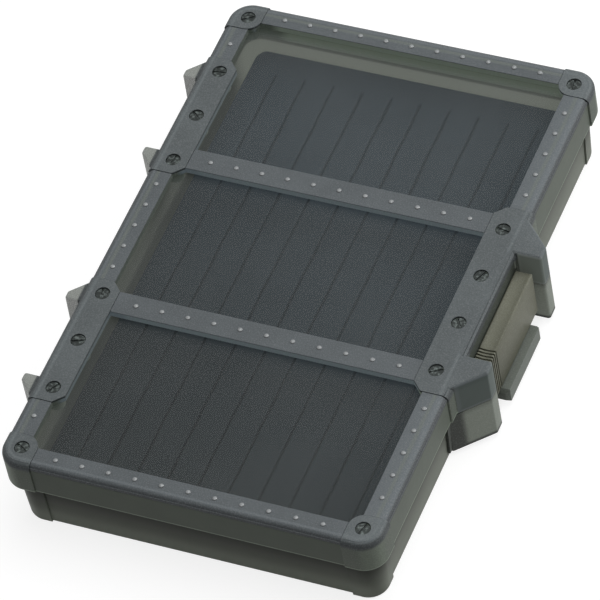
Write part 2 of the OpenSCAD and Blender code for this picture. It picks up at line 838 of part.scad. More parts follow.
module latch_block() {
    difference() {
        hull() for (x = [latch_back_x + latch_r, latch_face_x - latch_r],
            y = [latch_near_y + latch_r, latch_near_y + latch_l - latch_r],
            z = [latch_foot_z + latch_r, latch_top_z - latch_r])
            translate([x, y, z]) sphere(latch_r, $fn = 16);
        translate([latch_back_x + latch_t / 2, 0, latch_top_z - groove_deep + groove_r]) rotate([90, 0, 0])
            cylinder(r = groove_r, h = 2 * case_l, center = true);
    }
}

// The grooves between the grip ribs, across the top and down the outer face
module grip_cuts() {
    for (i = [0 : grip_count - 1]) {
        y = latch_near_y + grip_start + i * grip_pitch;
        translate([latch_back_x - over, y, latch_top_z - groove_deep - grip_deep])
            cube([latch_t + 2 * over, grip_w, groove_deep + grip_deep + over]);
        translate([latch_face_x - grip_deep, y, latch_foot_z - over])
            cube([grip_deep + over, grip_w, latch_h + 2 * over]);
    }
}

// One hook, under its keeper tooth when the latch is closed
module latch_hook(y) {
    z1 = tooth_top_z - tooth_t - hook_gap;
    translate([latch_back_x, y - tooth_l / 2, latch_foot_z])
        cube([tooth_reach + 2 * tooth_gap, tooth_l, z1 - latch_foot_z]);
}

base_shell();
base_foam();
base_guard(CORNERS[0]);  // base_guard_far_latch
base_guard(CORNERS[1]);  // base_guard_far_hinge
base_guard(CORNERS[2]);  // base_guard_near_hinge
base_guard(CORNERS[3]);  // base_guard_near_latch
latch_keeper();
hinge_knuckle(1);  // hinge_knuckle_far
hinge_knuckle(-1);  // hinge_knuckle_near
hinge_pin(1);  // hinge_pin_far
hinge_pin(-1);  // hinge_pin_near
lid_shell();
lid_frame();
window_pane(1);  // window_far
window_pane(0);  // window_middle
window_pane(-1);  // window_near
rim_seal();
lid_guard(CORNERS[0]);  // lid_guard_far_latch
lid_guard(CORNERS[1]);  // lid_guard_far_hinge
lid_guard(CORNERS[2]);  // lid_guard_near_hinge
lid_guard(CORNERS[3]);  // lid_guard_near_latch
hinge_plate(1);  // hinge_plate_far
hinge_plate(-1);  // hinge_plate_near
latch_plate();
frame_rivets();
color([0.35, 0.37, 0.37]) at_guard_screws() screw();  // guard_screws
color([0.35, 0.37, 0.37]) at_hinge_screws() screw();  // hinge_plate_screws
color([0.35, 0.37, 0.37]) at_latch_screws() screw();  // latch_plate_screws
latch();
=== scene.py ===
"""Fly box: smoked plastic case with a riveted lattice lid, clear windows, foam mat and side latch."""

import math

import bmesh
import bpy
from bpy.props import FloatProperty, FloatVectorProperty, IntProperty, PointerProperty
from mathutils import Matrix, Vector, noise


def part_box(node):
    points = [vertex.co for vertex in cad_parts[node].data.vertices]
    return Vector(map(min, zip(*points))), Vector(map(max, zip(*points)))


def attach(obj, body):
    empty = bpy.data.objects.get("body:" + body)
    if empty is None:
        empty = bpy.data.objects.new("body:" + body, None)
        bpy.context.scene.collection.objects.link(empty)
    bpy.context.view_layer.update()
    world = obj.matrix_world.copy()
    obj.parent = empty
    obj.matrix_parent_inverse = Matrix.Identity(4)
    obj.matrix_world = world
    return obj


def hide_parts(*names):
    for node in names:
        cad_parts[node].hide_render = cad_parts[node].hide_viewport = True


bl_info = {
    "name": "Fly Box",
    "version": (1, 0, 0),
    "blender": (4, 5, 0),
    "location": "View3D > Sidebar > Fly Box",
    "description": "Dresses the packed fly box with its moulded, riveted and foam surfaces",
    "category": "Object",
}

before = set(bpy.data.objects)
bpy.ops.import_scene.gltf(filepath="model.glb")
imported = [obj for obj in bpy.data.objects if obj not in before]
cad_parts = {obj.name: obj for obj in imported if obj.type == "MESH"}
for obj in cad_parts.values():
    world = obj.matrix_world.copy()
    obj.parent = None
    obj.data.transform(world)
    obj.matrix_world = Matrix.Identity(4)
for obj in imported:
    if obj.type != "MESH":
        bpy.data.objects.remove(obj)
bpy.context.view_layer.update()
MM = 0.001

CORNERS = ("far_latch", "far_hinge", "near_hinge", "near_latch")
ENDS = ("far", "near")
LID_LOW, LID_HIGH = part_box("lid_shell")
FRAME_LOW, FRAME_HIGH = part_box("lid_frame")
BASE_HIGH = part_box("base_shell")[1]
KEEPER_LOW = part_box("latch_keeper")[0]
FOAM_LOW, FOAM_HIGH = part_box("base_foam")
RIVETS_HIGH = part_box("frame_rivets")[1]

# Radius of the round corners of lid and base, seen from above
CORNER = 8 * MM
# How near two points are that count as one
SAME_POINT = 0.001 * MM


def colour_property(name, description, default):
    return FloatVectorProperty(
        name=name, description=description, subtype="COLOR", size=3, min=0, max=1, default=default)


def length_property(name, description, default):
    return FloatProperty(
        name=name, description=description, subtype="DISTANCE", unit="LENGTH", min=0, precision=5,
        default=default)


class FlyBoxColours(bpy.types.PropertyGroup):
    """Colours of the moulded, metal and foam surfaces."""

    tray: colour_property("Tray", "Smoked plastic of the base and its guards", (0.155, 0.168, 0.142))
    # Inner walls: their own colour made paler with painted light, as if lit through the walls
    inner: colour_property("Inner Walls", "Inner faces of the tray and the lid", (0.185, 0.198, 0.168))
    # Colour of the painted glow, fed to emission, that stands in for light through the walls
    through: colour_property("Light Through", "Light that comes through the walls", (0.058, 0.063, 0.053))
    skirt: colour_property("Lid Skirt", "Smoked plastic of the lid's side walls", (0.080, 0.096, 0.076))
    lattice: colour_property("Lattice", "Grained plastic of the lattice frame", (0.098, 0.111, 0.118))
    # Painted light: the paler colour of the band along the rails and of the rails' sides at the windows
    glow: colour_property("Glow", "Paler band where light comes through the rails", (0.150, 0.170, 0.152))
    plate: colour_property("Plates", "Grained plastic of guards and plates", (0.099, 0.113, 0.117))
    horn: colour_property("Horns", "Smoked sides of the lid's horns", (0.078, 0.098, 0.092))
    keeper: colour_property("Keeper", "Smoked plastic of the keeper and its horns", (0.150, 0.168, 0.146))
    window: colour_property("Windows", "Faint smoke of the clear panes", (0.17, 0.185, 0.185))
    foam: colour_property("Foam", "Charcoal of the foam mat", (0.0175, 0.0225, 0.0245))
    latch: colour_property("Latch", "Warm grey of the latch", (0.142, 0.145, 0.108))
    screw: colour_property("Screws", "Dark plated metal of the screws", (0.045, 0.052, 0.050))
    rivet: colour_property("Rivets", "Heads of the rivets", (0.24, 0.255, 0.26))
    steel: colour_property("Pins", "Steel of the hinge pins", (0.55, 0.56, 0.57))
    seal: colour_property("Seal", "Rubber of the seal", (0.10, 0.115, 0.095))


class FlyBoxSizes(bpy.types.PropertyGroup):
    """Sizes of the finish on the pieces."""

    edge: length_property("Edge", "Softening of the moulded edges", 0.15 * MM)
    plate_edge: length_property("Plate Edge", "Softening of the edges of guards and plates", 0.1 * MM)
    grain: length_property("Grain", "Size of the grain on the moulded faces", 0.45 * MM)
    foam_edge: length_property("Foam Edge", "Rounding of the foam mat's upper edges", 1 * MM)
    slit_width: length_property("Slit Width", "Width of a slit at the foam's surface", 1.1 * MM)
    slit_depth: length_property("Slit Depth", "Depth of a slit's opening", 3 * MM)
    rivet_rise: length_property("Rivet Rise", "Height of a rivet head", 0.5 * MM)
    screw_edge: length_property("Screw Edge", "Softening of the screws' edges", 0.12 * MM)


class FlyBoxStage(bpy.types.PropertyGroup):
    """Floor, light and camera."""

    over: FloatProperty(name="Overhead", description="Power of the overhead light", unit="POWER",
                        default=14)
    side: FloatProperty(name="Side", description="Power of the light from the latch's side", unit="POWER",
                        default=15)
    sky: FloatProperty(name="Sky", description="Strength of the even light from all round", default=0.28)
    paper: FloatProperty(name="Floor", description="Lightness of the floor", default=0.3)
    glare: FloatProperty(name="Glare", description="Light of the floor itself where it is seen",
                         default=0.82)


def colours():
    return bpy.context.scene.fly_box_colours


def sizes():
    return bpy.context.scene.fly_box_sizes


class Wire:
    """A value in a material; sums on it add their Math nodes."""

    def __init__(self, finish, socket):
        self.finish = finish
        self.socket = socket

    def math(self, operation, *values):
        sockets = {str(i): v for i, v in enumerate(values)}
        return self.finish.node("ShaderNodeMath", {"operation": operation}, **sockets)["Value"]

    def __add__(self, other):
        return self.math("ADD", self, other)

    def __radd__(self, other):
        return self.math("ADD", other, self)

    def __sub__(self, other):
        return self.math("SUBTRACT", self, other)

    def __rsub__(self, other):
        return self.math("SUBTRACT", other, self)

    def __mul__(self, other):
        return self.math("MULTIPLY", self, other)

    def __rmul__(self, other):
        return self.math("MULTIPLY", other, self)

    def __neg__(self):
        return 0 - self

    def __abs__(self):
        return self.math("ABSOLUTE", self)

    def most(self, other):
        return self.math("MAXIMUM", self, other)

    def least(self, other):
        return self.math("MINIMUM", self, other)

    def root(self):
        return self.math("SQRT", self)

    def step(self, low, high):
        """0 below low and 1 above high, with a soft change between them."""
        return self.finish.node(
            "ShaderNodeMapRange", {"interpolation_type": "SMOOTHSTEP"},
            Value=self, **{"From Min": low, "From Max": high})["Result"]

    def fall(self, low, high):
        """1 below low and 0 above high, with a soft change between them."""
        return 1 - self.step(low, high)

    def band(self, low, full, fade, high):
        """1 between full and fade, and 0 below low and above high."""
        return self.step(low, full) * self.fall(fade, high)


class Node:
    """A node whose outputs are read by name."""

    def __init__(self, finish, node):
        self.finish = finish
        self.made = node

    def __getitem__(self, name):
        found = [s for s in self.made.outputs if name in (s.identifier, s.name) and s.enabled]
        return Wire(self.finish, found[0])


class Finish:
    """A material under construction."""

    def __init__(self, name):
        self.material = bpy.data.materials.new(name)
        self.material.use_nodes = True
        self.tree = self.material.node_tree
        self.tree.nodes.clear()

    def node(self, kind, settings=None, **sockets):
        made = self.tree.nodes.new(kind)
        for key, value in (settings or {}).items():
            setattr(made, key, value)
        for key, value in sockets.items():
            self.feed(self.socket(made, key), value)
        return Node(self, made)

    def socket(self, made, key):
        key = key.replace("_", " ")
        if key.isdigit():
            return made.inputs[int(key)]
        found = [s for s in made.inputs if s.enabled and key in (s.identifier.replace("_", " "), s.name)]
        if not found:
            raise KeyError(f"{made.bl_idname} has no input {key}")
        return found[0]

    def feed(self, socket, value):
        if isinstance(value, Wire):
            self.tree.links.new(value.socket, socket)
        elif hasattr(value, "__len__") and len(value) == 3 and socket.type == "RGBA":
            socket.default_value = (*value, 1)
        else:
            socket.default_value = value

    def place(self):
        """Object coordinates, in metres."""
        return self.node("ShaderNodeTexCoord")["Object"]

    def axes(self):
        split = self.node("ShaderNodeSeparateXYZ", Vector=self.place())
        return split["X"], split["Y"], split["Z"]

    def depth(self, high):
        """Distance in from the round-cornered outline whose far corner is at high."""
        x, y, _ = self.axes()
        x = abs(x) - (high.x - CORNER)
        y = abs(y) - (high.y - CORNER)
        inside = x.most(y).least(0)
        x = x.most(0)
        y = y.most(0)
        return CORNER - inside - (x * x + y * y).root()

    def noise(self, size, detail, roughness=0.5):
        return self.node(
            "ShaderNodeTexNoise", Vector=self.place(), Scale=1 / size, Detail=detail,
            Roughness=roughness)["Fac"]

    def blend(self, mask, first, second):
        return self.node(
            "ShaderNodeMix", {"data_type": "RGBA"}, Factor_Float=mask, A_Color=first,
            B_Color=second)["Result_Color"]

    def bump(self, height, distance, strength):
        return self.node("ShaderNodeBump", Height=height, Distance=distance, Strength=strength)["Normal"]

    def close(self, **sockets):
        return self.end(self.node("ShaderNodeBsdfPrincipled", **sockets)["BSDF"])

    def end(self, shader):
        output = self.tree.nodes.new("ShaderNodeOutputMaterial")
        self.tree.links.new(shader.socket, output.inputs["Surface"])
        return self.material


def shade(colour, factor):
    return tuple(min(1, c * factor) for c in colour)


def mixed(colour, factors):
    return tuple(min(1, c * factor) for c, factor in zip(colour, factors))


DARK = (0, 0, 0)

# Size of the cloudy patches in the grained plastic and in the smoked walls
CLOUD = 14 * MM
WALL_CLOUD = 18 * MM

# Values of the noise between which soft patches change over
PATCHES = (0.3, 0.7)

# Tone of the painted light on the lid's flat top and its edge line, and how much of it shows
LIT = 1.45
LIT_SHARE = 0.7

# Share of the light through the walls that is painted as a glow on the lid's smoked outer sides
LID_LIGHT = 0.13

# Distances from the middle of the case, each with its soft change: where the painted light on the latch's
# side begins, where the hinge's side takes painted shade, where the latch plate ends, and the recess of the
# latch, which takes painted shade
LATCH_SIDE = (50 * MM, LID_HIGH.x)
HINGE_SIDE = (50 * MM, 55 * MM)
PLATE_END = (42 * MM, 46 * MM)
RECESS_WALL = (LID_HIGH.x - 4 * MM, LID_HIGH.x - 2 * MM)
RECESS_END = (22.5 * MM, 25 * MM)

# Distances in from the lid's outline: the painted highlight line on its flat top, the painted light band in
# its rails, the rails' edge at the windows, the bars between them, and the inner face of its side walls
EDGE_LINE = (1.6 * MM, 2.2 * MM, 2.5 * MM, 3.2 * MM)
RAIL_BAND = (2.9 * MM, 3.8 * MM, 4 * MM, 5.2 * MM)
RAIL_EDGE = (4 * MM, 5 * MM)
BARS = (10 * MM, 12 * MM)
INNER_WALL = (0.9 * MM, 1.5 * MM)

# The same, outside the outline, for the narrow faces by which guards and plates stand out from a wall,
# which take a painted glow
SEAM = (-0.52 * MM, -0.42 * MM, -0.25 * MM, -0.15 * MM)

# Heights on the lid: its lower rim with a painted highlight, and where the frame's flat top ends above its
# sides
LOWER_RIM = (LID_LOW.z + 0.7 * MM, LID_LOW.z + 1.3 * MM)
FRAME_SIDE = (FRAME_HIGH.z - 0.4 * MM, FRAME_HIGH.z - 0.1 * MM)


def grain_of(f, base):
    """The speckle of a grained face over its base colour, and the grain itself."""
    pale, pale_share, pale_from = (0.5, 0.5, 0.5), 0.16, (0.45, 0.8)
    dark, dark_share, dark_below = (0.02, 0.02, 0.02), 0.25, (0.2, 0.5)
    grain = f.noise(sizes().grain, detail=2, roughness=0.6)
    flecked = f.blend(grain.step(*pale_from) * pale_share, base, pale)
    return f.blend(grain.fall(*dark_below) * dark_share, flecked, dark), grain


def cloudy(f, colour, size):
    """Slightly darker and paler patches of a colour."""
    dark, light = 0.93, 1.07
    patches = f.noise(size, detail=3).step(*PATCHES)
    return f.blend(patches, shade(colour, dark), shade(colour, light))


def close_grained(f, colour, grain, **sockets):
    """Closes a matte plastic with a fine grain."""
    smoothest, spread = 0.46, 0.16
    depth, strength = 0.05 * MM, 0.3
    return f.close(
        Base_Color=colour,
        Roughness=smoothest + spread * grain,
        Specular_IOR_Level=0.2,
        Emission_Strength=1.0,
        Normal=f.bump(grain, depth, strength),
        **sockets,
    )


def close_satin(f, colour, light, gloss):
    """Closes a satin plastic whose walls let some light through."""
    smoothest, spread = 0.38, 0.1
    size, depth, strength = 0.8 * MM, 0.03 * MM, 0.5
    fine = f.noise(size, detail=3)
    return f.close(
        Base_Color=colour,
        Roughness=smoothest + spread * fine,
        Specular_IOR_Level=gloss,
        Emission_Color=light,
        Emission_Strength=1.0,
        Normal=f.bump(fine, depth, strength),
    )


def grained_plastic(name, colour):
    """Matte moulded face with a fine grain and a faint cloudiness."""
    f = Finish(name)
    toned, grain = grain_of(f, cloudy(f, colour, CLOUD))
    return close_grained(f, toned, grain, Emission_Color=DARK)


def lit_plastic(f, colour):
    """Cloudy plastic, paler with painted light on the latch's side of the lid."""
    x, y, _ = f.axes()
    lit = x.step(*LATCH_SIDE) * abs(y).step(*PLATE_END)
    return f.blend(lit * LIT_SHARE, cloudy(f, colour, CLOUD), shade(colour, LIT))


def recess(f):
    """The wall behind the latch, between the horns."""
    x, y, _ = f.axes()
    return x.step(*RECESS_WALL) * abs(y).fall(*RECESS_END)


def edged(f, base, colour, top):
    """Adds a painted highlight line along the flat top's outer edge and painted shade on the rounding
    below.
    """
    rounding_shade_tone, band_full, band_start = 0.62, 0.9 * MM, 0.2 * MM
    z = f.axes()[2]
    line = f.depth(LID_HIGH).band(*EDGE_LINE) * (1 - recess(f))
    lit = f.blend(line * LIT_SHARE, base, shade(colour, LIT))
    return f.blend(z.fall(top - band_full, top - band_start), lit, shade(colour, rounding_shade_tone))


def window_side(f, depth):
    """The sides of the frame and the plates that look into a window."""
    return depth.step(*RAIL_EDGE) * f.axes()[2].fall(*FRAME_SIDE)


def window_light(f, depth, through):
    """Painted glow in the sides of the windows: greenish at the outer rails, dimmer on the hinge's side,
    bluish and faint at the bars.
    """
    rail, shaded_rail, bar = (0.86, 0.98, 0.90), (0.35, 0.40, 0.38), (0.86, 1.0, 1.34)
    hinge_side = (-f.axes()[0]).step(*HINGE_SIDE)
    rails = f.blend(hinge_side, mixed(through, rail), mixed(through, shaded_rail))
    return f.blend(depth.step(*BARS), rails, mixed(through, bar))


def rail_plastic(name, colour, glow, through):
    """The lattice frame: a painted light band in its outer rails, and painted light and glow in its sides
    at the windows, with painted shade on the hinge's side.
    """
    light_band_share, shaded = 0.6, 0.35
    near_rail = (6 * MM - LID_HIGH.y, 12 * MM - LID_HIGH.y)
    f = Finish(name)
    x, y, _ = f.axes()
    depth = f.depth(LID_HIGH)
    band = depth.band(*RAIL_BAND) * y.step(*near_rail)
    base = f.blend(band * light_band_share, lit_plastic(f, colour), glow)
    base = edged(f, base, colour, FRAME_HIGH.z)
    side = window_side(f, depth)
    side_colour = f.blend((-x).step(*HINGE_SIDE), glow, shade(glow, shaded))
    toned, grain = grain_of(f, f.blend(side, base, side_colour))
    light = f.blend(side, DARK, window_light(f, depth, through))
    return close_grained(f, toned, grain, Emission_Color=light)


def side_tone(f, colour):
    """Smoked side of the lid, with a painted highlight along its lower rim, painted light at its corners
    and painted shade in the recess.
    """
    corner_light_tone, corner_share, corner_reach = 2.3, 0.7, 4 * MM
    painted_rim_tone, recess_shade_tone = 3, 0.5
    x, y, z = f.axes()
    corner = (abs(x) - (LID_HIGH.x - CORNER)).least(abs(y) - (LID_HIGH.y - CORNER))
    corner = corner.step(0, corner_reach) * corner_share
    base = f.blend(corner, cloudy(f, colour, WALL_CLOUD), shade(colour, corner_light_tone))
    base = f.blend(z.fall(*LOWER_RIM), base, shade(colour, painted_rim_tone))
    return f.blend(recess(f), base, shade(colour, recess_shade_tone))


def horn_paint(f, colour, horn):
    """The lid's horns below their flat tops: where they are, and smoke with painted highlights along their
    borders.
    """
    painted_border_tone, root_share = 1.3, 0.6
    outside = (LID_HIGH.x + 0.7 * MM, LID_HIGH.x + 1.1 * MM)
    flat_top = (FRAME_HIGH.z - 0.3 * MM, FRAME_HIGH.z)
    upper_edge = (FRAME_HIGH.z - 1.3 * MM, FRAME_HIGH.z - 0.6 * MM)
    root = (LID_HIGH.x + 1.2 * MM, LID_HIGH.x + 2.4 * MM)
    x, _, z = f.axes()
    border = (x.fall(*root) * root_share).most(z.step(*upper_edge) + z.fall(*LOWER_RIM))
    return x.step(*outside) * z.fall(*flat_top), f.blend(border, horn, shade(colour, painted_border_tone))


def plate_plastic(name, colour, side, horn, through):
    """Guards and plates: grained on top, smoked down the sides with a faint painted glow, painted shade at
    the windows, painted glow in horns and seams, and clearer lugs with painted light.
    """
    plate_rise, window_shade_tone = 0.2 * MM, 0.4
    lug_light_tint, lug_clearness, seam_light = (1.7, 1.7, 1.4), 0.38, 0.7
    above_side = (FRAME_LOW.z - 1 * MM, FRAME_LOW.z + 0.6 * MM)
    between_horns = (24.6 * MM, 25.6 * MM)
    lug_root = (LID_HIGH.x + 0.9 * MM, LID_HIGH.x + 1.6 * MM)
    f = Finish(name)
    x, y, z = f.axes()
    depth = f.depth(LID_HIGH)
    top = z.step(*above_side)
    flat = edged(f, lit_plastic(f, colour), colour, FRAME_HIGH.z + plate_rise)
    flat = f.blend(window_side(f, depth), flat, shade(colour, window_shade_tone))
    toned, grain = grain_of(f, f.blend(top, side_tone(f, side), flat))
    horns, paint = horn_paint(f, colour, horn)
    toned = f.blend(horns, toned, paint)
    lug = (-x).step(*lug_root)
    bright = (horns * abs(y).fall(*between_horns)).most(depth.band(*SEAM) * (1 - top))
    light = f.blend(top, shade(through, LID_LIGHT), DARK)
    return close_grained(
        f, f.blend(lug, toned, mixed(colour, lug_light_tint)), grain, Alpha=1 - lug_clearness * lug,
        Emission_Color=f.blend(bright, light, shade(through, seam_light)))


def skirt_plastic(name, colour, inner, through):
    """Satin side walls of the lid, smoked, with a painted glow on their inner faces and a faint one
    outside.
    """
    inner_light, gloss = 1.2, 0.1
    f = Finish(name)
    depth = f.depth(LID_HIGH)
    within = depth.step(*INNER_WALL)
    lit = window_light(f, depth, shade(through, inner_light))
    light = f.blend(within, shade(through, LID_LIGHT), lit)
    return close_satin(f, f.blend(within, side_tone(f, colour), inner), light, gloss)


def tray_outside(f, colour):
    """Outer walls of the base: painted shadow under the lid, and painted light at the foot but for the
    latch's side.
    """
    painted_foot_tone, under_lid_shadow_tone, latch_side_loss = 2.3, 0.32, 0.8
    foot, under_lid = (3 * MM, 11 * MM), (9 * MM, 18 * MM)
    latch_side = (BASE_HIGH.x - 6 * MM, BASE_HIGH.x - 1 * MM)
    x, _, z = f.axes()
    pale = z.fall(*foot) * (1 - latch_side_loss * x.step(*latch_side))
    outer = f.blend(pale, cloudy(f, colour, WALL_CLOUD), shade(colour, painted_foot_tone))
    return f.blend(z.step(*under_lid), outer, shade(colour, under_lid_shadow_tone))


def tray_plastic(name, colour, inner, through):
    """Satin walls of the base, smoked outside, with a painted glow within, most at the far end, and painted
    shade at the inner rim and on the hinge's side.
    """
    near_light, far_light, rim_light, shaded_light = 0.45, 1.85, 0.7, 0.35
    seam_light, painted_rim_tone, shaded_tone, gloss = 0.5, 0.75, 0.6, 0.05
    wall_lean = 1 * MM
    inner_wall = (1.2 * MM, 1.6 * MM)
    rim_heights = (BASE_HIGH.z - 2 * MM, BASE_HIGH.z - 1 * MM)
    hinge_wall, far_corner = (55 * MM, 60 * MM), (85 * MM, 100 * MM)
    f = Finish(name)
    x, y, z = f.axes()
    shell = f.depth(BASE_HIGH) - (BASE_HIGH.z - z) * (wall_lean / BASE_HIGH.z)
    inside = shell.step(*inner_wall)
    rim = z.step(*rim_heights)
    shaded = (-x).step(*hinge_wall) * y.fall(*far_corner)
    lit = f.blend(y.step(-BASE_HIGH.y, BASE_HIGH.y), shade(through, near_light), shade(through, far_light))
    lit = f.blend(rim, lit, shade(through, rim_light))
    lit = f.blend(shaded, lit, shade(through, shaded_light))
    light = f.blend(inside, f.blend(shell.band(*SEAM), DARK, shade(through, seam_light)), lit)
    inner_tone = f.blend(shaded, inner, shade(inner, shaded_tone))
    inner_tone = f.blend(rim, inner_tone, shade(inner, painted_rim_tone))
    return close_satin(f, f.blend(inside, tray_outside(f, colour), inner_tone), light, gloss)


def keeper_plastic(name, colour, through):
    """Smoked keeper: its horns have painted shade along the root and the foot, and a painted glow between,
    dimmer under the lid.
    """
    painted_border_tone, horn_light, upper_loss = 0.35, 0.95, 0.45
    root = (LID_HIGH.x + 1 * MM, LID_HIGH.x + 3 * MM)
    foot = (KEEPER_LOW.z + 1.8 * MM, KEEPER_LOW.z + 3.2 * MM)
    under_lid = (LID_LOW.z - 3 * MM, LID_LOW.z)
    horn_start = (20 * MM, 22 * MM)
    f = Finish(name)
    x, y, z = f.axes()
    pale = x.step(*root) * z.step(*foot) * (1 - upper_loss * z.step(*under_lid))
    horns = abs(y).step(*horn_start)
    base = f.blend(horns * (1 - pale), cloudy(f, colour, CLOUD), shade(colour, painted_border_tone))
    toned, grain = grain_of(f, base)
    light = f.blend(horns * pale, DARK, shade(through, horn_light))
    return close_grained(f, toned, grain, Emission_Color=light)


def clear_pane(name, colour):
    """Thin clear pane with a faint smoke and a few soft smears."""
    dark, light, smear_size = 0.95, 1.05, 40 * MM
    smoothest, spread = 0.08, 0.05
    smoke, smeared_smoke = 0.12, 0.01
    f = Finish(name)
    smear = f.noise(smear_size, detail=2).step(*PATCHES)
    return f.close(
        Base_Color=f.blend(smear, shade(colour, dark), shade(colour, light)),
        Roughness=smoothest + spread * smear,
        Alpha=smoke + smeared_smoke * smear,
        IOR=1.4,
    )


def foam_finish(name, colour, top):
    """Closed-cell foam: a fine speckle and a slight mottle, with painted light, paler and bluer, towards
    the far end, painted shade in the slits and a faint painted glow.
    """
    far_light_tint, far_range, slant = (1.75, 1.82, 2.0), (-120 * MM, 70 * MM), 0.5
    mottle_tone, mottle_share, mottle_from = 0.5, 0.15, (0.35, 0.7)
    pale_tone, pale_share, pale_from = 6, 0.02, (0.5, 0.8)
    dark_tone, dark_share, dark_below = 0.4, 0.2, (0.2, 0.5)
    near_slit_shade, far_slit_shade, slit_heights = 0.15, 0.4, (top - 0.7 * MM, top - 0.3 * MM)
    near_light, far_light = 0.1, 0.4
    speckle_size, mottle_size = 0.7 * MM, 7 * MM
    bump_depth, bump_strength = 0.05 * MM, 0.1
    f = Finish(name)
    x, y, z = f.axes()
    speckle = f.noise(speckle_size, detail=2, roughness=0.7)
    mottle = f.noise(mottle_size, detail=3)
    away = (y + x * slant).step(*far_range)
    far = mixed(colour, far_light_tint)
    base = f.blend(away, colour, far)
    base = f.blend(mottle.step(*mottle_from) * mottle_share, base, shade(colour, mottle_tone))
    toned = f.blend(speckle.step(*pale_from) * pale_share, base, shade(colour, pale_tone))
    toned = f.blend(speckle.fall(*dark_below) * dark_share, toned, shade(colour, dark_tone))
    slit = f.blend(away, shade(colour, near_slit_shade), shade(far, far_slit_shade))
    return f.close(
        Base_Color=f.blend(z.step(*slit_heights), slit, toned),
        Roughness=0.9,
        Specular_IOR_Level=0.05,
        Emission_Color=f.blend(away, shade(colour, near_light), shade(far, far_light)),
        Emission_Strength=1.0,
        Normal=f.bump(speckle, bump_depth, bump_strength),
    )


def metal(name, colour, smoothest):
    """Plated metal with fine scratches and dull patches."""
    plain_tone, dull_tone, dull_from, spread = 0.6, 2.2, (0.45, 0.7), 0.2
    dull_size, scratch_size = 1.2 * MM, 0.15 * MM
    scratch_depth, scratch_strength = 0.02 * MM, 0.5
    f = Finish(name)
    dull = f.noise(dull_size, detail=3)
    scratch = f.noise(scratch_size, detail=2)
    return f.close(
        Base_Color=f.blend(dull.step(*dull_from), shade(colour, plain_tone), shade(colour, dull_tone)),
        Metallic=0.9,
        Roughness=smoothest + spread * dull,
        Normal=f.bump(scratch, scratch_depth, scratch_strength),
    )


def rivet_finish(name, colour, top):
    """Shiny rivet heads, pale on their crowns and darkened with painted shade round their feet."""
    painted_foot_tone, dark, light = 0.2, 0.9, 1.1
    smoothest, spread, dull_size = 0.2, 0.1, 0.6 * MM
    crown_heights = (top - 0.4 * MM, top - 0.12 * MM)
    f = Finish(name)
    dull = f.noise(dull_size, detail=2)
    crown = f.axes()[2].step(*crown_heights)
    bright = f.blend(dull, shade(colour, dark), shade(colour, light))
    return f.close(
        Base_Color=f.blend(crown, shade(colour, painted_foot_tone), bright),
        Roughness=smoothest + spread * dull,
        Coat_Weight=0.4,
        Coat_Roughness=0.15,
    )


def rubber(name, colour):
    """Soft rubber with a dusty bloom."""
    dusty_tone, dust_from, dust_size = 2, (0.4, 0.8), 2 * MM
    dust_depth, dust_strength = 0.02 * MM, 0.5
    f = Finish(name)
    dust = f.noise(dust_size, detail=3)
    return f.close(
        Base_Color=f.blend(dust.step(*dust_from), colour, shade(colour, dusty_tone)),
        Roughness=0.7,
        Normal=f.bump(dust, dust_depth, dust_strength),
    )


def merged_copy(node, whole_faces):
    """A node's mesh with its loose triangles joined, and its flat faces made whole if asked."""
    flat = math.radians(0.5)
    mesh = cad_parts[node].data.copy()
    mesh.materials.clear()
    form = bmesh.new()
    form.from_mesh(mesh)
    bmesh.ops.remove_doubles(form, verts=form.verts, dist=SAME_POINT)
    bmesh.ops.dissolve_limit(form, angle_limit=flat, verts=form.verts, edges=form.edges)
    if not whole_faces:
        many = [face for face in form.faces if len(face.verts) > 4]
        bmesh.ops.triangulate(form, faces=many, ngon_method="BEAUTY")
    form.to_mesh(mesh)
    form.free()
    return mesh


def add_piece(name, mesh, material, body, slot, *nodes):
    """Links a finished piece, gives it its material, and lets it ride in place of its nodes."""
    piece = bpy.data.objects.new(name, mesh)
    bpy.context.scene.collection.objects.link(piece)
    piece.data.materials.clear()
    piece.data.materials.append(material)
    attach(piece, body)
    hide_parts(*nodes)
    return piece


def soften(piece, width):
    """Rounds the sharp edges of a piece."""
    sharp = math.radians(32)
    for face in piece.data.polygons:
        face.use_smooth = True
    piece.data.set_sharp_from_angle(angle=sharp)
    bevel = piece.modifiers.new("Edges", "BEVEL")
    bevel.width = width
    bevel.segments = 2
    bevel.limit_method = "ANGLE"
    bevel.angle_limit = sharp
    bevel.use_clamp_overlap = False
    bevel.harden_normals = True


def moulded(node, body, slot, material, width, whole_faces=True):
    """A node's own shape, merged and softened, as a piece."""
    piece = add_piece(node + "_moulding", merged_copy(node, whole_faces), material, body, slot, node)
    soften(piece, width)


# Roughness of the pins and the screws where they aren't dull
PIN_ROUGHNESS = 0.25
SCREW_ROUGHNESS = 0.3


class FlyBoxOperator(bpy.types.Operator):
    """Shared by all the operators of the fly box."""

    bl_options = {"REGISTER", "UNDO"}


class FLYBOX_OT_tray(FlyBoxOperator):
    """Base shell of smoked plastic with its four corner guards"""

    bl_idname = "flybox.tray"
    bl_label = "Tray and Guards"

    def execute(self, context):
        shades = colours()
        finish = tray_plastic("tray_plastic", shades.tray, shades.inner, shades.through)
        moulded("base_shell", "base", "smoked_plastic", finish, sizes().edge)
        for corner in CORNERS:
            moulded("base_guard_" + corner, "base", "smoked_plastic", finish, sizes().edge / 2)
        return {"FINISHED"}


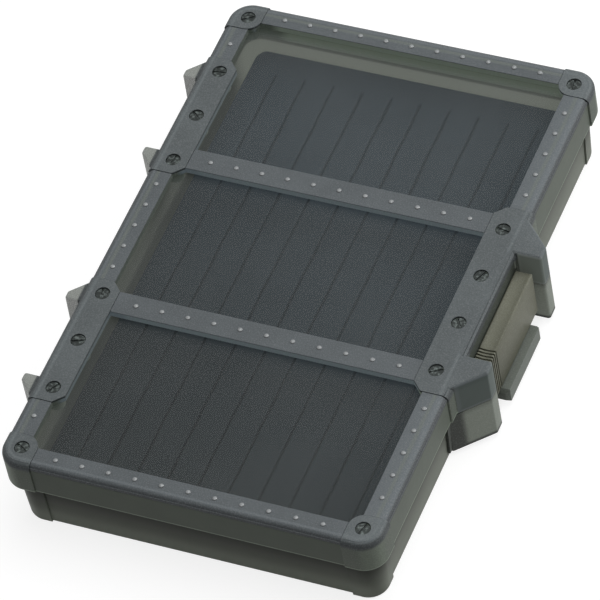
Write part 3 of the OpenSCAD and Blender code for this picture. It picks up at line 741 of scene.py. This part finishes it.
class FLYBOX_OT_keeper(FlyBoxOperator):
    """Keeper with the lower horns, the tab and the teeth"""

    bl_idname = "flybox.keeper"
    bl_label = "Latch Keeper"

    def execute(self, context):
        finish = keeper_plastic("keeper_plastic", colours().keeper, colours().through)
        moulded("latch_keeper", "base", "smoked_plastic", finish, sizes().edge)
        return {"FINISHED"}


class FLYBOX_OT_knuckles(FlyBoxOperator):
    """Hinge knuckles of the base and the steel pins in them"""

    bl_idname = "flybox.knuckles"
    bl_label = "Hinge Knuckles and Pins"

    def execute(self, context):
        finish = grained_plastic("knuckle_plastic", colours().tray)
        steel = metal("pin_steel", colours().steel, PIN_ROUGHNESS)
        for end in ENDS:
            moulded("hinge_knuckle_" + end, "base", "smoked_plastic", finish, sizes().edge,
                    whole_faces=False)
            moulded("hinge_pin_" + end, "base", "pin_steel", steel, sizes().edge / 2)
        return {"FINISHED"}


class FLYBOX_OT_skirt(FlyBoxOperator):
    """Lid shell: side walls, roof, rib and screw bosses"""

    bl_idname = "flybox.skirt"
    bl_label = "Lid Shell"

    def execute(self, context):
        shades = colours()
        finish = skirt_plastic("skirt_plastic", shades.skirt, shades.inner, shades.through)
        moulded("lid_shell", "lid", "smoked_plastic", finish, sizes().edge, whole_faces=False)
        return {"FINISHED"}


class FLYBOX_OT_lattice(FlyBoxOperator):
    """Lattice frame over the windows"""

    bl_idname = "flybox.lattice"
    bl_label = "Lattice Frame"

    def execute(self, context):
        shades = colours()
        finish = rail_plastic("lattice_plastic", shades.lattice, shades.glow, shades.through)
        moulded("lid_frame", "lid", "frame_plastic", finish, sizes().edge)
        return {"FINISHED"}


class FLYBOX_OT_plates(FlyBoxOperator):
    """Corner guards, hinge plates and latch plate of the lid"""

    bl_idname = "flybox.plates"
    bl_label = "Guards and Plates"

    def execute(self, context):
        shades = colours()
        finish = plate_plastic("plate_plastic", shades.plate, shades.skirt, shades.horn, shades.through)
        nodes = ["lid_guard_" + corner for corner in CORNERS]
        nodes += ["hinge_plate_" + end for end in ENDS] + ["latch_plate"]
        for node in nodes:
            moulded(node, "lid", "plate_plastic", finish, sizes().plate_edge)
        return {"FINISHED"}


class FLYBOX_OT_windows(FlyBoxOperator):
    """Three clear panes and the seal round the lid"""

    bl_idname = "flybox.windows"
    bl_label = "Windows and Seal"

    def execute(self, context):
        finish = clear_pane("window_plastic", colours().window)
        for place in ("far", "middle", "near"):
            moulded("window_" + place, "lid", "window_plastic", finish, sizes().edge)
        moulded("rim_seal", "lid", "seal_rubber", rubber("seal_rubber", colours().seal), sizes().edge)
        return {"FINISHED"}


def islands(node):
    """Lowest and highest point of each of a node's separate solids, in order across the box."""
    form = bmesh.new()
    form.from_mesh(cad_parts[node].data)
    bmesh.ops.remove_doubles(form, verts=form.verts, dist=SAME_POINT)
    left = set(form.verts)
    found = []
    while left:
        group = [left.pop()]
        for vert in group:
            for edge in vert.link_edges:
                other = edge.other_vert(vert)
                if other in left:
                    left.remove(other)
                    group.append(other)
        low = Vector(min(v.co[i] for v in group) for i in range(3))
        high = Vector(max(v.co[i] for v in group) for i in range(3))
        found.append((low, high))
    form.free()
    return sorted(found, key=lambda pair: (round(pair[0].x, 4), round(pair[0].y, 4)))


def points_mesh(name, places):
    mesh = bpy.data.meshes.new(name)
    mesh.from_pydata(places, [], [])
    return mesh


class Tree:
    """A Geometry Nodes tree under construction, with named inputs."""

    def __init__(self, name):
        self.group = bpy.data.node_groups.new(name, "GeometryNodeTree")
        self.group.interface.new_socket("Geometry", in_out="INPUT", socket_type="NodeSocketGeometry")
        self.group.interface.new_socket("Geometry", in_out="OUTPUT", socket_type="NodeSocketGeometry")
        self.inputs = self.group.nodes.new("NodeGroupInput")
        self.output = self.group.nodes.new("NodeGroupOutput")

    def input(self, name):
        self.group.interface.new_socket(name, in_out="INPUT", socket_type="NodeSocketFloat")
        return self.inputs.outputs[name]

    def add(self, kind, **sockets):
        node = self.group.nodes.new(kind)
        for key, value in sockets.items():
            if isinstance(value, bpy.types.NodeSocket):
                self.group.links.new(value, node.inputs[key])
            else:
                node.inputs[key].default_value = value
        return node.outputs

    def close(self, geometry, material):
        real = self.add("GeometryNodeRealizeInstances", Geometry=geometry)["Geometry"]
        done = self.add("GeometryNodeSetMaterial", Geometry=real, Material=material)["Geometry"]
        self.group.links.new(done, self.output.inputs["Geometry"])
        return self.group


def grown(name, points, tree, values):
    """Runs a tree on a mesh of points and returns its result as a plain mesh."""
    seed = bpy.data.objects.new(name, points)
    bpy.context.scene.collection.objects.link(seed)
    modifier = seed.modifiers.new("Grow", "NODES")
    modifier.node_group = tree
    for item in tree.interface.items_tree:
        if item.in_out == "INPUT" and item.name in values:
            modifier[item.identifier] = values[item.name]
    graph = bpy.context.evaluated_depsgraph_get()
    graph.update()
    mesh = bpy.data.meshes.new_from_object(seed.evaluated_get(graph), depsgraph=graph)
    seed.modifiers.remove(modifier)
    bpy.data.objects.remove(seed)
    mesh.name = name
    return mesh


def rivet_tree(material):
    """Domed heads on points."""
    tree = Tree("rivet_heads")
    radius = tree.input("Radius")
    rise = tree.input("Rise")
    ball = tree.add("GeometryNodeMeshUVSphere", Segments=20, Rings=12, Radius=1.0)["Mesh"]
    size = tree.add("ShaderNodeCombineXYZ", X=radius, Y=radius, Z=rise)["Vector"]
    head = tree.add("GeometryNodeTransform", Geometry=ball, Scale=size)["Geometry"]
    head = tree.add("GeometryNodeSetShadeSmooth", Geometry=head)["Geometry"]
    heads = tree.add(
        "GeometryNodeInstanceOnPoints", Points=tree.inputs.outputs["Geometry"],
        Instance=head)["Instances"]
    return tree.close(heads, material)


class FLYBOX_OT_rivets(FlyBoxOperator):
    """Rows of small rivet heads on the lattice frame"""

    bl_idname = "flybox.rivets"
    bl_label = "Rivets"

    def execute(self, context):
        finish = rivet_finish("rivet_metal", colours().rivet, RIVETS_HIGH.z)
        solids = islands("frame_rivets")
        places = [((low.x + high.x) / 2, (low.y + high.y) / 2, low.z) for low, high in solids]
        radius = (solids[0][1].x - solids[0][0].x) / 2
        mesh = grown(
            "rivet_heads", points_mesh("rivet_places", places), rivet_tree(finish),
            {"Radius": radius, "Rise": sizes().rivet_rise})
        add_piece("rivet_heads", mesh, finish, "lid", "rivet_metal", "frame_rivets")
        return {"FINISHED"}


class FLYBOX_OT_screws(FlyBoxOperator):
    """Slotted screws of the guards and plates"""

    bl_idname = "flybox.screws"
    bl_label = "Screws"

    def execute(self, context):
        finish = metal("screw_metal", colours().screw, SCREW_ROUGHNESS)
        for group in ("guard_screws", "hinge_plate_screws", "latch_plate_screws"):
            moulded(group, "lid", "screw_metal", finish, sizes().screw_edge)
        return {"FINISHED"}


# Where the mat's mesh has its lines: shares of a slit's half width, of the slits' pitch, of the edges'
# rounding and of the corners' radius, and distances from a slit's end
LIP_SHARES = (0, 0.4, 1, 1.6, 3)
PITCH_SHARES = (-1 / 2, -1 / 3, 1 / 3)
EDGE_SHARES = (0, 0.06, 0.2, 0.45, 0.8, 1.2)
CORNER_SHARES = (0.6, 0.8, 1, 1.5, 2)
END_OFFSETS = (-3 * MM, -1.5 * MM, -0.7 * MM, 0, 0.7 * MM, 1.5 * MM)

# Even rows between the slits' ends: how many steps, and how far from the ends they stop
ROW_STEPS = 60
ROW_MARGIN = 4 * MM

# The slits: how far they waver, how often across and along the mat, over what length they fade out,
# and how steep they are
WAVER = 0.12 * MM
WAVER_ACROSS = 40
WAVER_ALONG = 90
SLIT_FADE = 1.5 * MM
SLIT_STEEPNESS = 0.7

# The shallow trough beside a slit: its depth, and its reach in half widths of the slit
TROUGH_DEPTH = 0.15 * MM
TROUGH_REACH = 3

# The mat's uneven top: its height, its waves to the metre, and which layer of the noise it takes
UNEVEN = 0.12 * MM
UNEVEN_WAVES = 60
UNEVEN_LAYER = 3


class FLYBOX_OT_foam(FlyBoxOperator):
    """Slit foam mat in the tray"""

    bl_idname = "flybox.foam"
    bl_label = "Foam Mat"

    slit_count: IntProperty(name="Slits", description="Number of slits along the mat", default=10)
    slit_pitch: length_property("Slit Pitch", "Distance from slit to slit", 11.45 * MM)
    slit_end: length_property("Slit End", "Distance from the mat's ends to the slits", 10.8 * MM)
    corner: length_property("Corner", "Radius of the mat's corners", 4.5 * MM)

    def execute(self, context):
        finish = foam_finish("foam_finish", colours().foam, FOAM_HIGH.z)
        piece = add_piece("foam_mat", self.mat_mesh(), finish, "base", "foam", "base_foam")
        return {"FINISHED"}

    def mat_mesh(self):
        slits = [(i - (self.slit_count - 1) / 2) * self.slit_pitch for i in range(self.slit_count)]
        columns = self.columns(slits)
        rows = self.rows()
        form = bmesh.new()
        grid = [[form.verts.new(self.top_point(x, y, slits)) for x in columns] for y in rows]
        for i in range(len(rows) - 1):
            for j in range(len(columns) - 1):
                form.faces.new((grid[i][j], grid[i][j + 1], grid[i + 1][j + 1], grid[i + 1][j]))
        rim = grid[0] + [row[-1] for row in grid[1:]] + grid[-1][-2::-1] + [row[0] for row in grid[-2:0:-1]]
        foot = [form.verts.new((v.co.x, v.co.y, FOAM_LOW.z)) for v in rim]
        count = len(rim)
        for i in range(count):
            form.faces.new((rim[i], foot[i], foot[(i + 1) % count], rim[(i + 1) % count]))
        form.faces.new(foot[::-1])
        mesh = bpy.data.meshes.new("foam_mat")
        bmesh.ops.recalc_face_normals(form, faces=form.faces)
        for face in form.faces:
            face.smooth = len(face.verts) == 4
        form.to_mesh(mesh)
        form.free()
        return mesh

    def columns(self, slits):
        lip = sizes().slit_width / 2
        edge = sizes().foam_edge
        marks = set()
        for x in slits:
            marks.update(x + side * share * lip for side in (-1, 1) for share in LIP_SHARES)
            marks.update(x + share * self.slit_pitch for share in PITCH_SHARES)
        for side in (-1, 1):
            marks.update(side * (FOAM_HIGH.x - edge * share) for share in EDGE_SHARES)
            marks.update((side * (FOAM_HIGH.x - self.corner), side * (FOAM_HIGH.x - 2 * self.corner)))
        return sorted(marks)

    def rows(self):
        edge = sizes().foam_edge
        end = FOAM_HIGH.y - self.slit_end
        marks = set()
        for side in (-1, 1):
            marks.update(side * (FOAM_HIGH.y - edge * share) for share in EDGE_SHARES)
            marks.update(side * (FOAM_HIGH.y - self.corner * share) for share in CORNER_SHARES)
            marks.update(side * (end + offset) for offset in END_OFFSETS)
        reach = end - ROW_MARGIN
        marks.update(reach * (2 * i / ROW_STEPS - 1) for i in range(ROW_STEPS + 1))
        return sorted(marks)

    def top_point(self, x, y, slits):
        """A point of the top: drawn in at the round corners, and lowered at the edges and the slits."""
        r = self.corner
        over = max(0, abs(y) - (FOAM_HIGH.y - r))
        edge_x = FOAM_HIGH.x - r + math.sqrt(max(0, r * r - over * over))
        start = FOAM_HIGH.x - 2 * r
        if abs(x) > start:
            share = (abs(x) - start) / (FOAM_HIGH.x - start)
            x = math.copysign(start + share * (edge_x - start), x)
        inside = min(edge_x - abs(x), FOAM_HIGH.y - abs(y))
        edge = sizes().foam_edge
        z = FOAM_HIGH.z - self.dip(x, y, slits)
        if inside < edge:
            z -= edge - math.sqrt(max(0, edge * edge - (edge - inside) ** 2))
        elif inside > edge:
            z += UNEVEN * noise.noise((x * UNEVEN_WAVES, y * UNEVEN_WAVES, UNEVEN_LAYER))
        return x, y, z

    def dip(self, x, y, slits):
        """How far the top dips at a place: the slits and the shallow troughs beside them."""
        end = FOAM_HIGH.y - self.slit_end
        fade = min(1, max(0, (end - abs(y)) / SLIT_FADE + 0.5))
        lip = sizes().slit_width / 2
        depth = 0
        for slit in slits:
            waver = WAVER * noise.noise((slit * WAVER_ACROSS, y * WAVER_ALONG, 0))
            away = abs(x - slit - waver) / lip
            if away < TROUGH_REACH:
                depth += fade * TROUGH_DEPTH * (1 - away / TROUGH_REACH) ** 2
                depth += fade * sizes().slit_depth * max(0, 1 - away) ** SLIT_STEEPNESS
        return depth


class FLYBOX_OT_latch(FlyBoxOperator):
    """Latch with its grip ribs"""

    bl_idname = "flybox.latch"
    bl_label = "Latch"

    def execute(self, context):
        finish = grained_plastic("latch_plastic", colours().latch)
        moulded("latch", "latch", "latch_plastic", finish, sizes().edge, whole_faces=False)
        return {"FINISHED"}


# The floor's profile in metres: how far it is flat, the radius and the angles of its bend, and the
# outer end of its slope, and how many steps it has round
FLOOR_FLAT = 3
FLOOR_BEND = 1.2
FLOOR_ANGLES = (0.3, 0.6, 0.9, 1.2, 1.5)
FLOOR_END = (4.3, 2)
FLOOR_STEPS = 48

# Places and widths of the two lamps, and the place of the camera, in metres
OVER_PLACE = (0.1, 0.35, 1.6)
OVER_WIDTH = 1.3
SIDE_PLACE = (1.25, 0.85, 0.7)
SIDE_WIDTH = 0.8
CAMERA_PLACE = Vector((0.64471, -1.07724, 1.47595))

WHITE = (1, 1, 1)


class FLYBOX_OT_stage(FlyBoxOperator):
    """Pale floor, soft light and the camera"""

    bl_idname = "flybox.stage"
    bl_label = "Stage"

    azimuth: FloatProperty(name="Azimuth", description="Turn of the camera round the box", default=31.075)
    elevation: FloatProperty(name="Elevation", description="Angle above the floor", default=49.307)
    roll: FloatProperty(name="Roll", description="Turn of the camera about its own view", default=11.955)
    lens: FloatProperty(name="Lens", description="Focal length in millimetres", default=325.75)
    sensor: FloatProperty(name="Sensor", description="Sensor width in millimetres", default=36.0)

    def execute(self, context):
        scene = context.scene
        stage = scene.fly_box_stage
        scene.view_settings.view_transform = "Standard"
        self.floor(scene, self.paper(stage))
        self.sky(scene, stage.sky)
        self.lamp(scene, "overhead", OVER_PLACE, OVER_WIDTH, stage.over)
        self.lamp(scene, "side", SIDE_PLACE, SIDE_WIDTH, stage.side)
        self.camera(scene)
        return {"FINISHED"}

    def floor(self, scene, paper):
        """A flat floor that curves up far away, so that every view ends on it."""
        profile = [(0, 0), (FLOOR_FLAT, 0)]
        for angle in FLOOR_ANGLES:
            profile.append((FLOOR_FLAT + FLOOR_BEND * math.sin(angle), FLOOR_BEND * (1 - math.cos(angle))))
        profile.append(FLOOR_END)
        turns = [2 * math.pi * k / FLOOR_STEPS for k in range(FLOOR_STEPS)]
        form = bmesh.new()
        rings = [[form.verts.new((0, 0, 0))]]
        for radius, z in profile[1:]:
            rings.append([form.verts.new((radius * math.cos(t), radius * math.sin(t), z)) for t in turns])
        for inner, outer in zip(rings, rings[1:]):
            for k in range(FLOOR_STEPS):
                after = (k + 1) % FLOOR_STEPS
                if len(inner) == 1:
                    form.faces.new((inner[0], outer[k], outer[after]))
                else:
                    form.faces.new((inner[k], outer[k], outer[after], inner[after])).smooth = True
        mesh = bpy.data.meshes.new("floor")
        form.to_mesh(mesh)
        form.free()
        mesh.materials.append(paper)
        floor = bpy.data.objects.new("floor", mesh)
        scene.collection.objects.link(floor)

    def paper(self, stage):
        """Paper that looks brighter than the light that it throws back on the box."""
        f = Finish("floor_paper")
        path = f.node("ShaderNodeLightPath")
        seen = path["Is Camera Ray"].most(path["Is Glossy Ray"] + path["Is Transmission Ray"])
        paper = f.node("ShaderNodeBsdfDiffuse", Color=shade(WHITE, stage.paper))["BSDF"]
        lit = f.node("ShaderNodeEmission", Color=WHITE, Strength=stage.glare)["Emission"]
        bright = f.node("ShaderNodeAddShader", **{"0": paper, "1": lit})["Shader"]
        return f.end(f.node("ShaderNodeMixShader", **{"0": seen, "1": paper, "2": bright})["Shader"])

    def sky(self, scene, strength):
        """An even sky that is white where it is seen or mirrored, and lights the box with its strength."""
        world = bpy.data.worlds.new("studio")
        world.use_nodes = True
        tree = world.node_tree
        background = tree.nodes["Background"]
        background.inputs["Color"].default_value = (*WHITE, 1)
        path = tree.nodes.new("ShaderNodeLightPath")
        seen = path.outputs["Is Camera Ray"]
        for ray in ("Is Transmission Ray", "Is Glossy Ray"):
            either = tree.nodes.new("ShaderNodeMath")
            either.operation = "MAXIMUM"
            tree.links.new(seen, either.inputs[0])
            tree.links.new(path.outputs[ray], either.inputs[1])
            seen = either.outputs["Value"]
        level = tree.nodes.new("ShaderNodeMapRange")
        level.inputs["To Min"].default_value = strength
        level.inputs["To Max"].default_value = 1
        tree.links.new(seen, level.inputs["Value"])
        tree.links.new(level.outputs["Result"], background.inputs["Strength"])
        scene.world = world

    def lamp(self, scene, name, place, width, power):
        light = bpy.data.lights.new(name, "AREA")
        light.energy = power
        light.size = width
        holder = bpy.data.objects.new(name, light)
        holder.location = place
        holder.rotation_euler = (-Vector(place)).to_track_quat("-Z", "Y").to_euler()
        scene.collection.objects.link(holder)

    def camera(self, scene):
        lens = bpy.data.cameras.new("view")
        lens.lens = self.lens
        lens.sensor_width = self.sensor
        lens.clip_start = 0.1
        lens.clip_end = 10
        camera = bpy.data.objects.new("view", lens)
        turn, lift, roll = (math.radians(a) for a in (self.azimuth, self.elevation, self.roll))
        back = Vector((math.sin(turn) * math.cos(lift), -math.cos(turn) * math.cos(lift), math.sin(lift)))
        right = Vector((math.cos(turn), math.sin(turn), 0))
        down = right.cross(back)
        side = right * math.cos(roll) + down * math.sin(roll)
        up = back.cross(side)
        axes = Matrix((side, up, back)).transposed().to_4x4()
        camera.matrix_world = Matrix.Translation(CAMERA_PLACE) @ axes
        scene.collection.objects.link(camera)
        scene.camera = camera


OPERATORS = (
    FLYBOX_OT_stage, FLYBOX_OT_tray, FLYBOX_OT_keeper, FLYBOX_OT_knuckles, FLYBOX_OT_skirt,
    FLYBOX_OT_lattice, FLYBOX_OT_plates, FLYBOX_OT_windows, FLYBOX_OT_rivets, FLYBOX_OT_screws,
    FLYBOX_OT_foam, FLYBOX_OT_latch,
)


class FLYBOX_PT_panel(bpy.types.Panel):
    """Lists the pieces of the fly box"""

    bl_label = "Fly Box"
    bl_idname = "FLYBOX_PT_panel"
    bl_space_type = "VIEW_3D"
    bl_region_type = "UI"
    bl_category = "Fly Box"

    def draw(self, context):
        for operator in OPERATORS:
            self.layout.operator(operator.bl_idname)


GROUPS = {"fly_box_colours": FlyBoxColours, "fly_box_sizes": FlyBoxSizes, "fly_box_stage": FlyBoxStage}
CLASSES = (*GROUPS.values(), *OPERATORS, FLYBOX_PT_panel)


def register():
    for cls in CLASSES:
        bpy.utils.register_class(cls)
    for name, group in GROUPS.items():
        setattr(bpy.types.Scene, name, PointerProperty(type=group))


def unregister():
    for name in GROUPS:
        delattr(bpy.types.Scene, name)
    for cls in reversed(CLASSES):
        bpy.utils.unregister_class(cls)


def main():
    register()
    for operator in OPERATORS:
        space, name = operator.bl_idname.split(".")
        getattr(getattr(bpy.ops, space), name)()


if __name__ == "__main__":
    main()
